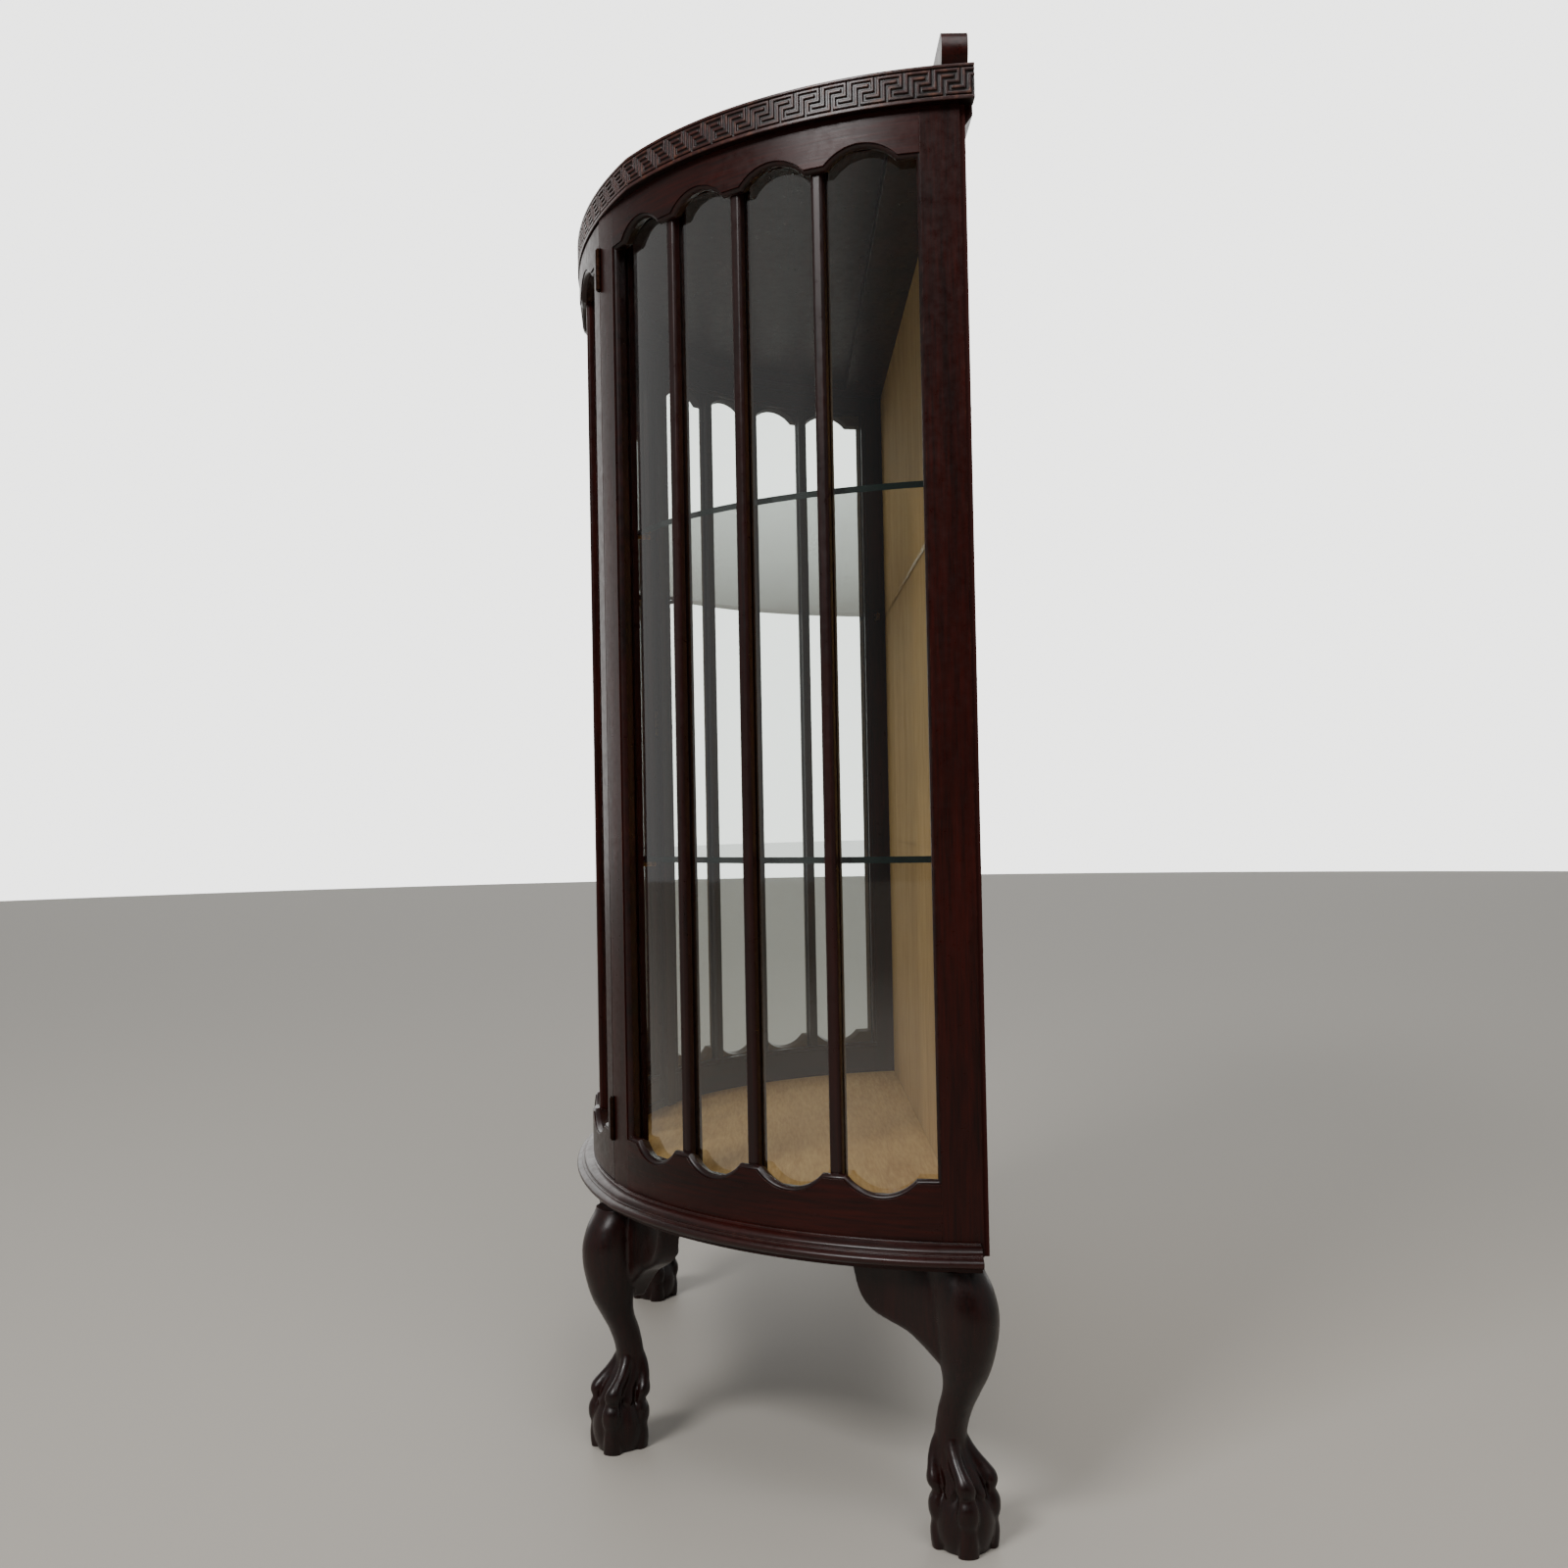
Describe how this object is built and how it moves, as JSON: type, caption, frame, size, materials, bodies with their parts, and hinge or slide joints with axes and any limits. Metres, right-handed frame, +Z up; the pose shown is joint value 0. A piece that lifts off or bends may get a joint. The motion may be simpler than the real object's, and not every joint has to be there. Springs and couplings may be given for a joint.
{
  "type": "china cabinet with glass doors",
  "caption": "Bow-fronted glazed display cabinet with a bent-glass door, glass shelves, a carved key-pattern band and cabriole legs with claw-and-ball feet.",
  "frame": {"origin": "middle of the overall bounding box in plan, on the floor", "axes": "+Z up, +Y towards the wall behind the cabinet, +X to the right of a person facing the door"},
  "size_m": [1.0188, 0.423, 1.35],
  "materials": {
    "mahogany": "dark stained, satin lacquer",
    "pale_plywood": "unfinished birch veneer",
    "glass": "clear bent sheet",
    "brass": "aged satin",
    "steel": "dull"
  },
  "bodies": {
    "carcass": {"base_board": "mahogany", "base_moulding": "mahogany", "front_sill": "mahogany", "floor_panel": "pale_plywood", "back_panel": "pale_plywood", "back_screws": "steel", "top_frame": "mahogany", "top_board": "mahogany", "key_frieze": "mahogany", "rear_cleat": "mahogany", "gallery": "mahogany", "front_post_left": "mahogany", "front_post_right": "mahogany", "back_post_left": "mahogany", "back_post_right": "mahogany", "top_rail_left": "mahogany", "top_rail_right": "mahogany", "bottom_rail_left": "mahogany", "bottom_rail_right": "mahogany", "astragals_left": "mahogany", "astragals_right": "mahogany", "side_glass_left": "glass", "side_glass_right": "glass", "glazing_slips_left": "mahogany", "glazing_slips_right": "mahogany", "door_stop_strip": "mahogany", "shelf_lower": "glass", "shelf_upper": "glass", "shelf_pegs": "brass", "leg_back_left": "mahogany", "leg_back_right": "mahogany", "leg_front_left": "mahogany", "leg_front_right": "mahogany", "ear_back_left": "mahogany", "ear_back_right": "mahogany", "ear_front_left_side": "mahogany", "ear_front_left_door": "mahogany", "ear_front_right_side": "mahogany", "ear_front_right_door": "mahogany", "strike_plate": "brass", "hinge_leaves_post": "brass", "hinge_screws_post": "brass", "hinge_pins": "brass"},
    "door": {"door_hinge_stile": "mahogany", "door_lock_stile": "mahogany", "door_top_rail": "mahogany", "door_bottom_rail": "mahogany", "door_astragals": "mahogany", "door_glass": "glass", "door_glazing_slips": "mahogany", "hinge_leaves_door": "brass", "hinge_screws_door": "brass", "lock_body": "brass", "escutcheon": "brass"},
    "bolt": {"lock_bolt": "brass"},
    "key": {"key": "brass"}
  },
  "joints": [
    {"name": "door_swing", "type": "hinge", "parent": "carcass", "child": "door", "pos_m": [0.23504, -0.14916, 0.767], "axis": [0, 0, 1], "range_deg": [0, 110]},
    {"name": "key_turn", "type": "hinge", "parent": "door", "child": "key", "pos_m": [-0.22481, -0.15185, 0.766], "axis": [0.3546, 0.935, 0], "range_deg": [0, 180]},
    {"name": "bolt_slide", "type": "slide", "parent": "door", "child": "bolt", "axis": [-0.935, 0.3546, 0], "range_m": [0, 0.006]}
  ],
  "couplings": [
    {"joint": "key_turn", "follows": "bolt_slide", "rad_per_m": 523.6}
  ]
}
